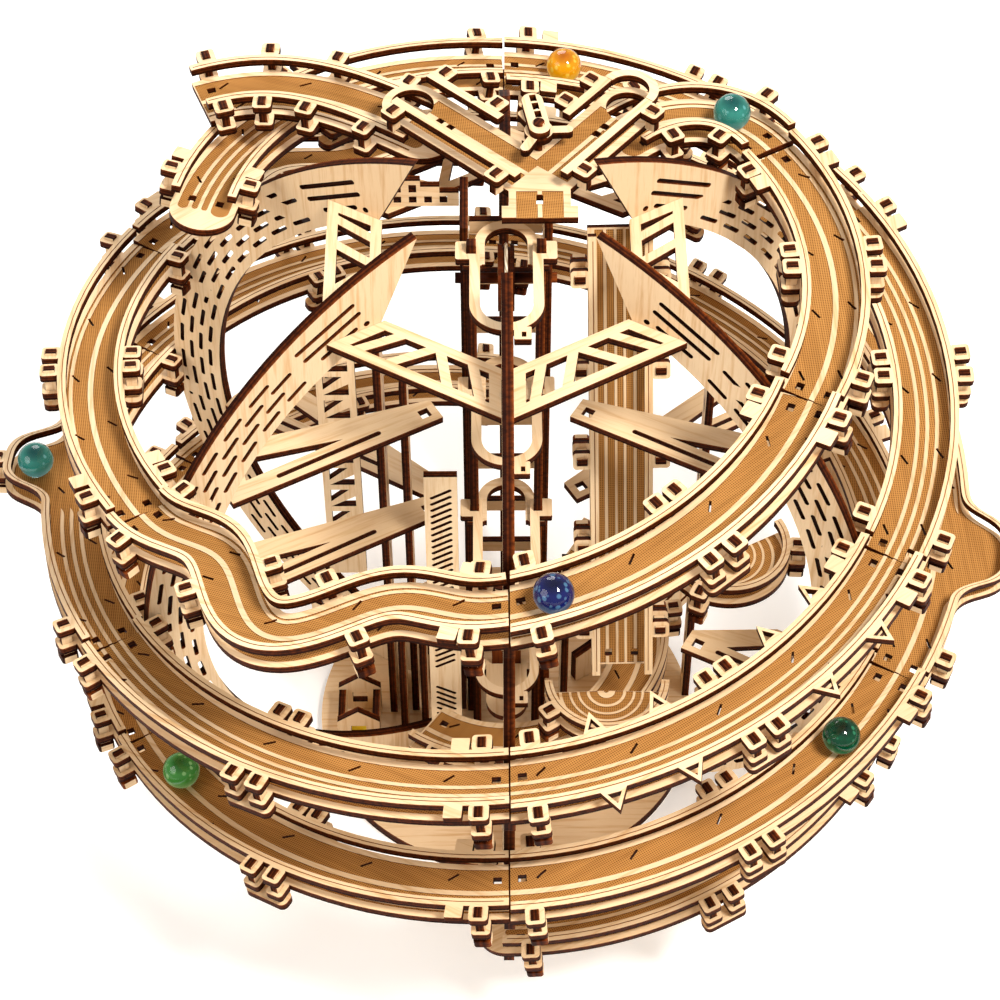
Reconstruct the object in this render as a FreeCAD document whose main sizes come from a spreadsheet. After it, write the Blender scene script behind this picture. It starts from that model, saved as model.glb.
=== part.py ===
"""Globe marble maze: a laser-cut plywood globe with two interleaved spiral marble
tracks, a central lift tower and a Y-shaped starting junction on top.

Millimetres, +Z up. The origin is the centre of the underside of the base plate.
Azimuths are in degrees, 0 at the front (-Y) and positive towards the right (+X).
Heights named "level" are measured from the centre of the globe.
"""
import FreeCAD, Part
import Sketcher
import math
import os
from FreeCAD import Placement, Rotation, Vector

SIZES = {
    "ply": 3.0,
    "fit_gap": 0.1,
    "engrave": 0.3,
    "centre_height": 150.0,
    "track_radius": 168.0,
    "track_pitch": 125.0,
    "front_level_a": 96.5,
    "front_level_b": 34.0,
    "top_rise": 7.5,
    "deck_width": 24.0,
    "rail_width": 3.2,
    "rail_lift": 5.5,
    "tab_size": 7.0,
    "tab_offset": 15.0,
    "post_wide": 4.0,
    "post_thin": 3.0,
    "seam_gap": 0.6,
    "rib_outer": 155.0,
    "rib_inner": 133.0,
    "rib_thick": 4.0,
    "rib_back_crest": 140.0,
    "rib_foot_near": 34.0,
    "rib_foot_far": 74.0,
    "tenon_place": 54.0,
    "tenon_length": 14.0,
    "base_radius": 80.0,
    "base_thick": 5.0,
    "truss_level": 124.0,
    "truss_outer": 75.0,
    "truss_width": 20.0,
    "top_level": 150.0,
    "marble_dia": 14.0,
    "marble_gap": 0.02,
    "tower_half": 15.0,
    "wall_front": -0.5,
    "tower_back": 22.0,
    "guide_tip": 45.0,
    "guide_outer": 13.0,
    "guide_inner": 9.3,
    "guide_step": 70.0,
    "guide_top": 137.0,
    "cord_radius": 0.6,
    "cord_loop": 12.0,
    "cord_axis_y": 6.0,
    "drum_level": -127.0,
    "idler_level": 112.0,
    "shaft_radius": 2.0,
    "shaft_gap": 0.06,
    "crank_reach": 8.0,
    "car_low": -94.0,
    "car_rise": 12.0,
    "car_drop": 34.0,
}

doc = FreeCAD.newDocument("GlobeMarbleMaze")
sheet = doc.addObject("Spreadsheet::Sheet", "Sizes")
for row, (alias, number) in enumerate(SIZES.items(), start=1):
    sheet.set(f"A{row}", alias)
    sheet.set(f"B{row}", str(number))
    sheet.setAlias(f"B{row}", alias)
doc.recompute()

SUBPARTS = []
GROUPS = {}
UP = Vector(0, 0, 1)


def size(alias):
    """A driving dimension, read back from the spreadsheet."""
    return float(sheet.get(alias))


PLY = size("ply")
CENTRE = Vector(0, 0, size("centre_height"))


# ---------------------------------------------------------------- helpers

def polar(radius, azimuth, level):
    """A point of the globe from its distance to the axis, azimuth and level."""
    turn = math.radians(azimuth)
    return CENTRE + Vector(radius * math.sin(turn), -radius * math.cos(turn), level)


def collect(group, solid, placement=None):
    """Adds a separate solid to the sub-part that will carry the group's name."""
    piece = solid.copy()
    if placement is not None:
        piece.Placement = placement.multiply(piece.Placement)
    GROUPS.setdefault(group, []).append(piece)


def add_feature(label, shape):
    feature = doc.addObject("Part::Feature", label)
    feature.Label = label
    feature.Shape = shape
    SUBPARTS.append(feature)
    return feature


def slab(length, width, low, high, centre=(0, 0), corner=0.0, turn=0.0):
    """A flat rectangle on the local XY plane, with rounded corners if asked."""
    solid = Part.makeBox(length, width, high - low, Vector(-length / 2, -width / 2, low))
    if corner > 0:
        upright = [e for e in solid.Edges if abs(e.tangentAt(e.FirstParameter).z) > 0.99]
        solid = solid.makeFillet(corner, upright)
    solid.rotate(Vector(0, 0, 0), UP, turn)
    solid.translate(Vector(centre[0], centre[1], 0))
    return solid


def stadium_wire(length, width, centre, turn=0.0):
    """Outline of a slot with round ends, `length` long over its ends."""
    half = (length - width) / 2
    radius = width / 2
    a, b = Vector(-half, radius, 0), Vector(half, radius, 0)
    c, d = Vector(half, -radius, 0), Vector(-half, -radius, 0)
    wire = Part.Wire([
        Part.makeLine(a, b),
        Part.Arc(b, Vector(half + radius, 0, 0), c).toShape(),
        Part.makeLine(c, d),
        Part.Arc(d, Vector(-half - radius, 0, 0), a).toShape(),
    ])
    wire.rotate(Vector(0, 0, 0), UP, turn)
    wire.translate(Vector(centre[0], centre[1], 0))
    return wire


def plate(outline, holes, low=0.0, high=None):
    """A flat plate from an outline wire and the wires of its holes."""
    face = Part.Face([outline] + list(holes), "Part::FaceMakerBullseye")
    solid = face.extrude(Vector(0, 0, (PLY if high is None else high - low)))
    solid.translate(Vector(0, 0, low))
    return solid


def polygon(points):
    marks = [Vector(x, y, 0) for x, y in points]
    return Part.makePolygon(marks + marks[:1])


def box_wire(left, bottom, right, top):
    return polygon([(left, bottom), (right, bottom), (right, top), (left, top)])


def upright(placement_point, turn):
    """Placement of a plate drawn flat in XY and stood up: local Y becomes +Z.

    `turn` is the azimuth that the local X axis points to."""
    away = math.radians(turn)
    along = Vector(math.sin(away), -math.cos(away), 0)
    return Placement(placement_point, Rotation(along, UP, along.cross(UP), "ZXY"))


# ---------------------------------------------------------------- track paths

class ArcPath:
    """A round stretch about the local origin, from one angle to another."""

    def __init__(self, radius, start, end):
        self.radius, self.start, self.end = radius, start, end
        self.length = radius * math.radians(abs(end - start))

    def angle(self, part):
        return self.start + (self.end - self.start) * part

    def point(self, part, offset=0.0, level=0.0):
        turn = math.radians(self.angle(part))
        reach = self.radius + offset
        return Vector(reach * math.cos(turn), reach * math.sin(turn), level)

    def heading(self, part):
        """Direction of travel, in degrees from local X."""
        return self.angle(part) - 90.0

    def edge(self, offset, level, first=0.0, last=1.0):
        if callable(offset):
            return spline_edge(self, offset, level, first, last)
        middle = (first + last) / 2
        return Part.Arc(self.point(first, offset, level), self.point(middle, offset, level),
                        self.point(last, offset, level)).toShape()


class CurvePath:
    """A free curve given by a formula from 0..1 to local X and Y.

    A positive offset lies on the left of the direction of travel."""

    STEP = 1e-4

    def __init__(self, formula):
        self.formula = formula
        marks = [Vector(*formula(i / 40.0), 0) for i in range(41)]
        self.length = sum(a.distanceToPoint(b) for a, b in zip(marks, marks[1:]))

    def heading(self, part):
        before = self.formula(max(part - self.STEP, 0.0))
        after = self.formula(min(part + self.STEP, 1.0))
        return math.degrees(math.atan2(after[1] - before[1], after[0] - before[0]))

    def point(self, part, offset=0.0, level=0.0):
        x, y = self.formula(part)
        side = math.radians(self.heading(part) + 90.0)
        return Vector(x + offset * math.cos(side), y + offset * math.sin(side), level)

    def edge(self, offset, level, first=0.0, last=1.0):
        return spline_edge(self, offset, level, first, last)


def spline_edge(path, offset, level, first, last):
    count = max(6, int(path.length * abs(last - first) / 5.0))
    marks = []
    for i in range(count + 1):
        part = first + (last - first) * i / count
        aside = offset(part) if callable(offset) else offset
        marks.append(path.point(part, aside, level))
    curve = Part.BSplineCurve()
    curve.interpolate(marks)
    return curve.toShape()


def strip(path, near, far, low, high, first=0.0, last=1.0, round_start=False, round_end=False):
    """A flat band between two offsets of a path, from level `low` to `high`."""
    one = path.edge(near, low, first, last)
    two = path.edge(far, low, first, last)
    start_one, end_one = one.valueAt(one.FirstParameter), one.valueAt(one.LastParameter)
    start_two, end_two = two.valueAt(two.FirstParameter), two.valueAt(two.LastParameter)
    if start_one.distanceToPoint(path.point(first, 0, low)) > end_one.distanceToPoint(
            path.point(first, 0, low)):
        start_one, end_one = end_one, start_one
    if start_two.distanceToPoint(path.point(first, 0, low)) > end_two.distanceToPoint(
            path.point(first, 0, low)):
        start_two, end_two = end_two, start_two
    edges = [one, end_cap(path, end_one, end_two, last, 1, round_end),
             two, end_cap(path, start_two, start_one, first, -1, round_start)]
    wire = Part.Wire(Part.__sortEdges__(edges))
    return Part.Face(wire).extrude(Vector(0, 0, high - low))


def end_cap(path, here, there, part, sense, rounded):
    if not rounded:
        return Part.makeLine(here, there)
    travel = math.radians(path.heading(part))
    bulge = here.distanceToPoint(there) / 2 * sense
    crown = (here + there) * 0.5 + Vector(math.cos(travel), math.sin(travel), 0) * bulge
    return Part.Arc(here, crown, there).toShape()


# ---------------------------------------------------------------- track pieces

def stations(path, near_start=10.0, near_end=10.0, middle=True):
    """Where the rail posts stand, as (part, pair): singles by the seams, a pair between."""
    found = [(near_start / path.length, False)]
    if middle:
        found += [(0.5 - 4.6 / path.length, True), (0.5 + 4.6 / path.length, True)]
    found.append((1 - near_end / path.length, False))
    return found


def tab_tools(path, spots, side, low, high):
    """Rounded tabs beside one edge of a piece, and the post holes through them."""
    tabs, holes = [], []
    for part, aside in spots:
        centre = path.point(part, side * size("tab_offset") + aside)
        turn = path.heading(part)
        tabs.append(slab(size("tab_size"), size("tab_size"), low, high, centre, 1.4, turn))
        holes.append(slab(size("post_thin") + 2 * size("fit_gap"),
                          size("post_wide") + 2 * size("fit_gap"),
                          low - 1, high + 1, centre, 0.0, turn))
    return tabs, holes


def tooth_tools(path, spots, side, low, high):
    """Hollow triangular teeth that point away from a rail."""
    root = size("deck_width") / 2 - size("rail_width") / 2
    teeth, hollows = [], []
    for part in spots:
        for found, spread, near, far in ((teeth, 5.2, root, root + 10.0),
                                         (hollows, 2.4, root + 2.9, root + 7.2)):
            step = spread / path.length
            corners = [path.point(part - step, side * near), path.point(part + step, side * near),
                       path.point(part, side * far)]
            deep = 1.0 if found is hollows else 0.0
            found.append(plate(polygon([(c.x, c.y) for c in corners]), [],
                               low - deep, high + deep))
    return teeth, hollows


def trim_tool(azimuth, sense):
    """A block from just short of a seam, used to end pieces square to the rib plane."""
    block = Part.makeBox(12, 60, 60, Vector(-size("seam_gap") / 2, -30, -30))
    turn = math.radians(azimuth)
    across = Vector(math.cos(turn), math.sin(turn), 0) * sense
    outward = Vector(math.sin(turn), -math.cos(turn), 0)
    return block, Rotation(across, outward, across.cross(outward), "ZXY")


def track_piece(path, placement, bands, posts=None, trims=(), wings=None,
                start_round=False, end_round=False, dashes=True, plaque=True, groups=None,
                rails=(1, -1), seam_holes=True, teeth=(), clips=True):
    """Builds one deck with its two rails, posts and clip plates.

    `bands` are the engraved strips as (near, far) offsets. `wings` widens the outer
    edge, as a function of the part of the path. `trims` are the seam planes."""
    half = size("deck_width") / 2
    rail, lift = size("rail_width"), size("rail_lift")
    bulge = wings if wings is not None else (lambda part: 0.0)
    spots = posts if posts is not None else stations(path)
    outer = (lambda part: half + bulge(part)) if wings else half
    deck = strip(path, -half, outer, -PLY, 0, round_start=start_round, round_end=end_round)
    cuts = []
    for near, far in bands:
        edge = far if not (wings and far > 0) else (lambda part, far=far: far + bulge(part))
        cuts.append(strip(path, near, edge, -size("engrave"), 1,
                          first=0.004, last=0.996,
                          round_start=start_round, round_end=end_round))
    if dashes:
        count = int(path.length / 30.0)
        for i in range(count):
            part = (i + 0.5) / count
            for side, shift in ((1, 0.0), (-1, 5.0 / path.length)):
                centre = path.point(part + shift, side * 6.3)
                cuts.append(slab(4.6, 0.9, -PLY - 1, 1, centre, 0.0, path.heading(part) + 38))
    if seam_holes:
        for part in (5.5 / path.length, 1 - 5.5 / path.length):
            for side in (-1, 1):
                cuts.append(slab(3.2, 2.8, -PLY - 1, 1, path.point(part, side * 5.2), 0.0,
                                 path.heading(part)))
    placed_trims = []
    for azimuth, sense, anchor in trims:
        block, rotation = trim_tool(azimuth, sense)
        block.Placement = placement.inverse().multiply(Placement(anchor, rotation))
        placed_trims.append(block)

    rail_low, rail_high = lift, lift + PLY
    deck_tabs, rail_pieces = [], {}
    for side in (1, -1):
        if side not in rails:
            continue
        marks = [(part, bulge(part) if side > 0 else 0.0) for part, pair in spots]
        tabs, holes = tab_tools(path, marks, side, -PLY, 0)
        deck_tabs += tabs
        cuts += holes
        inner_edge, outer_edge = side * (half - rail), side * half
        if wings and side > 0:
            near_line = lambda part: half - rail + bulge(part)
            far_line = lambda part: half + bulge(part)
            groove_near = lambda part: half - rail * 0.62 + bulge(part)
            groove_far = lambda part: half - rail * 0.5 + bulge(part)
        else:
            near_line, far_line = inner_edge, outer_edge
            groove_near, groove_far = side * (half - rail * 0.62), side * (half - rail * 0.5)
        bar = strip(path, near_line, far_line, rail_low, rail_high)
        tabs, holes = tab_tools(path, marks, side, rail_low, rail_high)
        points, hollows = tooth_tools(path, teeth, side, rail_low, rail_high)
        tabs += points
        holes += hollows
        if plaque:
            part = 18.2 / path.length
            centre = path.point(part, side * 14.4 + (bulge(part) if side > 0 else 0.0))
            tabs.append(slab(6.4, 5.6, rail_low, rail_high, centre, 0.5, path.heading(part)))
        groove = strip(path, groove_near, groove_far, rail_high - size("engrave"),
                       rail_high + 1, first=0.01, last=0.99)
        bar = bar.fuse(tabs).cut(holes + [groove] + placed_trims)
        rail_pieces[side] = bar.removeSplitter()

    deck = deck.fuse(deck_tabs).cut(cuts + placed_trims).removeSplitter()
    deck_group, rail_groups, post_group, clip_group = groups
    collect(deck_group, biggest(deck), placement)
    for side, bar in rail_pieces.items():
        collect(rail_groups[0] if side > 0 else rail_groups[1], biggest(bar), placement)
    if clips:
        add_posts(path, spots, bulge, rails, placement, post_group, clip_group)
    else:
        add_short_posts(path, spots, rails, placement, post_group)


def biggest(shape):
    return max(shape.Solids, key=lambda solid: solid.Volume)


def add_posts(path, spots, bulge, sides, placement, post_group, clip_group):
    """Square pegs through deck and rail tabs, each with a clip plate under the deck."""
    top = size("rail_lift") + PLY + 0.9
    bottom = -2 * PLY - 3.0
    clip_low, clip_high = bottom + 0.8, bottom + 0.8 + PLY
    for side in sides:
        pair_parts = [part for part, pair in spots if pair]
        for part, pair in spots:
            aside = side * size("tab_offset") + (bulge(part) if side > 0 else 0.0)
            centre, turn = path.point(part, aside), path.heading(part)
            peg = slab(size("post_thin"), size("post_wide"), bottom, top, centre, 0.0, turn)
            collect(post_group, peg, placement)
            if not pair:
                plate = slab(6.4, 6.4, clip_low, clip_high, centre, 1.2, turn)
                collect(clip_group, clip_hole(plate, [(centre, turn)], clip_low, clip_high),
                        placement)
        if len(pair_parts) == 2:
            middle = sum(pair_parts) / 2
            aside = side * size("tab_offset") + (bulge(middle) if side > 0 else 0.0)
            ends = []
            for part in pair_parts:
                shift = side * size("tab_offset") + (bulge(part) if side > 0 else 0.0)
                ends.append((path.point(part, shift), path.heading(part)))
            plate = slab(18.0, 6.6, clip_low, clip_high, path.point(middle, aside), 2.4,
                         path.heading(middle))
            collect(clip_group, clip_hole(plate, ends, clip_low, clip_high), placement)


def add_short_posts(path, spots, sides, placement, post_group):
    """Pegs that end flush under the deck, where another track runs close below."""
    top = size("rail_lift") + PLY + 0.9
    for side in sides:
        for part, pair in spots:
            peg = slab(size("post_thin"), size("post_wide"), -PLY, top,
                       path.point(part, side * size("tab_offset")), 0.0, path.heading(part))
            collect(post_group, peg, placement)


def clip_hole(plate, spots, low, high):
    holes = []
    for centre, turn in spots:
        holes.append(slab(size("post_thin") + 2 * size("fit_gap"),
                          size("post_wide") + 2 * size("fit_gap"),
                          low - 1, high + 1, centre, 0.0, turn))
    return biggest(plate.cut(holes))


# ---------------------------------------------------------------- the two spiral tracks

def seam_level(front_level, azimuth):
    """Level of a spiral deck where it crosses a rib; it flattens towards the top."""
    turning = 60.0
    level = front_level + size("track_pitch") * min(azimuth, turning) / 360.0
    if azimuth > turning and front_level > size("front_level_b"):
        level += size("top_rise") * (azimuth - turning) / 60.0
    elif azimuth > turning:
        level += size("track_pitch") * (azimuth - turning) / 360.0
    return level


def spiral_radius(level):
    return math.sqrt(size("track_radius") ** 2 - level ** 2)


def spiral_frame(front_level, start, end):
    """Flat plate that follows the spiral between two azimuths: its placement, arc
    radius and end angles in its own plane, and the two seam points."""
    high, low = seam_level(front_level, start), seam_level(front_level, end)
    first, last = polar(spiral_radius(high), start, high), polar(spiral_radius(low), end, low)
    middle_turn = math.radians((start + end) / 2)
    outward = Vector(math.sin(middle_turn), -math.cos(middle_turn), 0)
    between = (first + last) * 0.5
    reach = spiral_radius((high + low) / 2)
    crown = between + outward * (reach - (between - CENTRE).dot(outward))
    circle = Part.Arc(first, crown, last).toShape().Curve
    centre, radius = circle.Center, circle.Radius
    normal = (first - last).cross(outward)
    if normal.z < 0:
        normal = normal * -1
    normal.normalize()
    along = (crown - centre).normalize()
    across = normal.cross(along)
    placement = Placement(centre, Rotation(along, across, normal, "ZXY"))
    angles = []
    for point in (first, last):
        ray = point - centre
        angles.append(math.degrees(math.atan2(ray.dot(across), ray.dot(along))))
    return placement, radius, angles, (first, last)


BANDS_A = [(-9.6, -0.4), (1.6, 7.2), (8.6, 9.4)]
BANDS_B = [(-9.6, -3.0), (-1.6, 0.6), (2.0, 4.2), (5.6, 9.4)]


def wave_path(radius, start, end, swing, waves):
    """A spiral stretch that weaves in and out, still meeting its seams square."""
    def formula(part):
        turn = math.radians(start + (end - start) * part)
        window = math.sin(math.pi * part) ** 2
        reach = radius + swing * window * math.sin(2 * math.pi * waves * part)
        return reach * math.cos(turn), reach * math.sin(turn)
    return CurvePath(formula)


def lobe(centre, width, depth):
    """A smooth bay in the outer edge, where a marble can be parked."""
    def bulge(part):
        away = (part - centre) / width
        return depth * math.exp(-away ** 4) if abs(away) < 1.6 else 0.0
    return bulge


TOOTH_SPOTS = (0.2, 0.35, 0.65, 0.8)


def spiral_track(letter, front_level, bands, stops, wavy, lobes, round_first, toothed=()):
    """Builds a whole spiral from its list of seam azimuths, highest first."""
    for i, (start, end) in enumerate(zip(stops, stops[1:])):
        placement, radius, angles, seams = spiral_frame(front_level, start, end)
        extra = math.degrees(0.8 / radius)
        first, last = angles[0] + extra, angles[1] - extra
        free_start = round_first and i == 0
        free_end = i == len(stops) - 2
        if free_start:
            first = angles[0]
        if i in wavy:
            swing, waves = wavy[i]
            path = wave_path(radius, first, last, -swing, waves)
            sides = -1
        else:
            path = ArcPath(radius, first, last)
            sides = 1
        trims = [] if free_start else [(start, 1, seams[0])]
        if not free_end:
            trims.append((end, -1, seams[1]))
        bulge = lobe(*lobes[i]) if i in lobes else None
        posts = stations(path)
        if sides < 0:
            bands_here = [(-far, -near) for near, far in reversed(bands)]
            posts = [(12.5 / path.length, False), (0.36, False), (0.64, False),
                     (1 - 12.5 / path.length, False)]
        else:
            bands_here = bands
        if bulge is not None:
            middle = lobes[i][0]
            posts = [(10.0 / path.length, False), (middle, False),
                     (1 - 10.0 / path.length, False)]
        rail_names = (f"track_{letter}_outer_rails", f"track_{letter}_inner_rails")
        if sides < 0:
            rail_names = rail_names[::-1]
        groups = (f"track_{letter}_decks_{i // 3 + 1}", rail_names, "rail_posts",
                  "clip_plates")
        teeth = TOOTH_SPOTS if i in toothed else ()
        track_piece(path, placement, bands_here, posts=posts, trims=trims,
                    wings=bulge, start_round=free_start, end_round=free_end,
                    groups=groups, plaque=bulge is None, teeth=teeth)


STOPS_A = [120 - 60 * i for i in range(12)]
STOPS_B = [-106] + [-180 - 60 * i for i in range(10)]


def build_spirals():
    spiral_track("a", size("front_level_a"), BANDS_A, STOPS_A,
                 wavy={2: (16.0, 1.5), 4: (6.0, 2.0)}, lobes={6: (0.68, 0.085, 17.0)},
                 round_first=False)
    # track b counts its azimuths downwards from the top; one whole turn is added so that
    # its levels follow the same formula as track a
    front = size("front_level_b") + size("track_pitch")
    spiral_track("b", front, BANDS_B, STOPS_B, wavy={},
                 lobes={5: (0.55, 0.085, 17.0)}, round_first=True, toothed=(3,))


def seams_on_rib(azimuth):
    """Every (level, radius) at which a deck crosses the rib at this azimuth."""
    found = []
    for front, stops in ((size("front_level_a"), STOPS_A),
                         (size("front_level_b") + size("track_pitch"), [-120] + STOPS_B[1:])):
        for stop in stops:
            if (stop - azimuth) % 360 == 0:
                level = seam_level(front, stop)
                found.append((level, spiral_radius(level)))
    return found


# ---------------------------------------------------------------- ribs and base

def on_circle(radius, lean):
    """A point of the rib outline, `lean` degrees away from straight up."""
    angle = math.radians(lean)
    return Vector(radius * math.sin(angle), radius * math.cos(angle), 0)


def rib_solid(azimuth):
    """One meridian rib, drawn flat with X away from the axis and Y as the level."""
    outer, inner, thick = size("rib_outer"), size("rib_inner"), size("rib_thick")
    near, far = size("rib_foot_near"), size("rib_foot_far")
    foot = size("base_thick") - size("centre_height") + 0.3
    tip = on_circle(161.0, 13.2)
    shoulder = on_circle(outer, 55.0)
    tip_inner = on_circle(inner, 23.4)
    heel = Vector(far, -math.sqrt(outer ** 2 - far ** 2), 0)
    arch = Vector(near, -math.sqrt(inner ** 2 - near ** 2), 0)
    outline = [
        Part.Arc(tip, on_circle(157.0, 34.0), shoulder).toShape(),
        Part.Arc(shoulder, on_circle(outer, 110.0), heel).toShape(),
        Part.makeLine(heel, Vector(far, foot, 0)),
        Part.makeLine(Vector(far, foot, 0), Vector(near, foot, 0)),
        Part.makeLine(Vector(near, foot, 0), arch),
        Part.Arc(arch, on_circle(inner, 90.0), tip_inner).toShape(),
        Part.makeLine(tip_inner, tip),
    ]
    holes = rib_slots()
    face = Part.Face([Part.Wire(outline)] + holes, "Part::FaceMakerBullseye")
    body = face.extrude(Vector(0, 0, thick))
    body.translate(Vector(0, 0, -thick / 2))
    arms = [slab(size("tenon_length"), 8.0, -thick / 2, thick / 2,
                 (size("tenon_place"), foot + 4.0 - size("base_thick") + 0.6))]
    notches = []
    for level, radius in seams_on_rib(azimuth):
        top = level - PLY - 2.0
        root = math.sqrt(outer ** 2 - level ** 2) - 12.0
        tip_reach = radius + 9.0
        depth = 7.0
        arms.append(slab(tip_reach - root, depth, -thick / 2, thick / 2,
                         ((tip_reach + root) / 2, top - depth / 2), 1.2))
        inside = radius - size("deck_width") / 2 - 1.2
        crown = level + size("rail_lift") + PLY + 2.2
        notches.append(slab(40.0, crown - top, -thick, thick,
                            (inside + 20.0, (crown + top) / 2)))
    body = body.fuse(arms).cut(notches)
    if azimuth == RIBS["rib_back"]:
        crest = size("rib_back_crest")
        body = body.cut(slab(80.0, 40.0, -thick, thick, (60.0, crest + 20.0)))
    body = body.removeSplitter()
    body.Placement = upright(CENTRE, azimuth)
    return biggest(body)


def rib_slots():
    """Outlines of the lightening slots: three long ones at the tip, then four rows."""
    holes = []
    for row_radius, span in ((139.6, 7.0), (145.0, 10.5), (150.4, 10.5)):
        holes.append(rib_slot(row_radius, 29.5, span, 2.0))
    eye = Part.makeCircle(1.2, on_circle(138.5, 24.6), UP)
    holes.append(Part.Wire(eye))
    pitch_angle, slot_angle = 6.0, 4.1
    for row, row_radius in enumerate((137.4, 141.9, 146.4, 150.9)):
        lean = 39.0 + (row % 2) * pitch_angle / 2
        while lean < 148.0:
            holes.append(rib_slot(row_radius, lean, slot_angle, 1.8))
            lean += pitch_angle
    return holes


def rib_slot(radius, lean, span, width):
    length = radius * math.radians(span)
    return stadium_wire(length, width, on_circle(radius, lean), -lean)


RIBS = {
    "rib_front": 0, "rib_front_right": 60, "rib_back_right": 120,
    "rib_back": 180, "rib_back_left": -120, "rib_front_left": -60,
}


def build_ribs():
    for label, azimuth in RIBS.items():
        add_feature(label, rib_solid(azimuth))


def origin_plane(body, role):
    return next(f for f in body.Origin.OriginFeatures if f.Role == role)


def new_body(label, plane="XY_Plane"):
    body = doc.addObject("PartDesign::Body", label)
    body.Label = label
    sketch = body.newObject("Sketcher::SketchObject", f"{label}_outline")
    sketch.AttachmentSupport = [(origin_plane(body, plane), "")]
    sketch.MapMode = "FlatFace"
    SUBPARTS.append(body)
    return body, sketch


def more_sketch(body, name, plane="XY_Plane"):
    sketch = body.newObject("Sketcher::SketchObject", name)
    sketch.AttachmentSupport = [(origin_plane(body, plane), "")]
    sketch.MapMode = "FlatFace"
    return sketch


def sketch_circle(sketch, expression, value, centre=(0, 0)):
    """A circle whose radius is bound to the sheet."""
    index = sketch.addGeometry(Part.Circle(Vector(centre[0], centre[1], 0), UP, value), False)
    if centre == (0, 0):
        sketch.addConstraint(Sketcher.Constraint("Coincident", index, 3, -1, 1))
    rule = sketch.addConstraint(Sketcher.Constraint("Radius", index, value))
    sketch.setExpression(f"Constraints[{rule}]", expression)
    return index


def sketch_box(sketch, left, bottom, right, top, names):
    """A rectangle whose four sides are bound to the sheet, measured from the origin.

    `names` are the expressions for left, bottom, right and top."""
    corners = [Vector(left, bottom, 0), Vector(right, bottom, 0),
               Vector(right, top, 0), Vector(left, top, 0)]
    lines = []
    for here, there in zip(corners, corners[1:] + corners[:1]):
        lines.append(sketch.addGeometry(Part.LineSegment(here, there), False))
    for i in range(4):
        sketch.addConstraint(Sketcher.Constraint("Coincident", lines[i], 2,
                                                 lines[(i + 1) % 4], 1))
    sketch.addConstraint(Sketcher.Constraint("Horizontal", lines[0]))
    sketch.addConstraint(Sketcher.Constraint("Horizontal", lines[2]))
    sketch.addConstraint(Sketcher.Constraint("Vertical", lines[1]))
    sketch.addConstraint(Sketcher.Constraint("Vertical", lines[3]))
    rules = (("DistanceX", 0, 1, left), ("DistanceY", 0, 1, bottom),
             ("DistanceX", 2, 1, right), ("DistanceY", 2, 1, top))
    for (kind, line, point, value), expression in zip(rules, names):
        rule = sketch.addConstraint(
            Sketcher.Constraint(kind, -1, 1, lines[line], point, value))
        sketch.setExpression(f"Constraints[{rule}]", expression)
    return lines


def pad(body, sketch, expression, value, symmetric=False):
    feature = body.newObject("PartDesign::Pad", f"{sketch.Name}_pad")
    feature.Profile = sketch
    feature.Length = value
    if symmetric:
        feature.SideType = "Symmetric"
    feature.setExpression("Length", expression)
    return feature


def pocket_through(body, sketch, name):
    """Cuts a sketch through everything, whichever way the solid lies."""
    before = body.Shape.Volume
    feature = body.newObject("PartDesign::Pocket", name)
    feature.Profile = sketch
    feature.Type = "ThroughAll"
    feature.Reversed = True
    doc.recompute()
    if not feature.Shape.isNull() and feature.Shape.Volume < before - 1e-3:
        return feature
    feature.Reversed = False
    doc.recompute()
    if feature.Shape.isNull() or feature.Shape.Volume > before - 1e-3:
        raise RuntimeError(f"{name} cuts nothing")
    return feature


def build_base():
    """Round base plate with six tenon slots and a window under the lift."""
    body, outline = new_body("base_plate")
    sketch_circle(outline, "Sizes.base_radius", size("base_radius"))
    pad(body, outline, "Sizes.base_thick", size("base_thick"))
    doc.recompute()
    slot = more_sketch(body, "tenon_slot")
    half = (size("rib_thick") / 2) + 0.15
    near = size("tenon_place") - size("tenon_length") / 2 - 0.15
    far = size("tenon_place") + size("tenon_length") / 2 + 0.15
    sketch_box(slot, -half, near, half, far, (
        "-Sizes.rib_thick / 2 - 0.15", "Sizes.tenon_place - Sizes.tenon_length / 2 - 0.15",
        "Sizes.rib_thick / 2 + 0.15", "Sizes.tenon_place + Sizes.tenon_length / 2 + 0.15"))
    cut = pocket_through(body, slot, "tenon_slot_cut")
    pattern = body.newObject("PartDesign::PolarPattern", "tenon_slots")
    pattern.Originals = [cut]
    pattern.Axis = (slot, ["N_Axis"])
    pattern.Angle = 360
    pattern.Occurrences = len(RIBS)
    body.Tip = pattern
    doc.recompute()


# ---------------------------------------------------------------- truss ring

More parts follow.
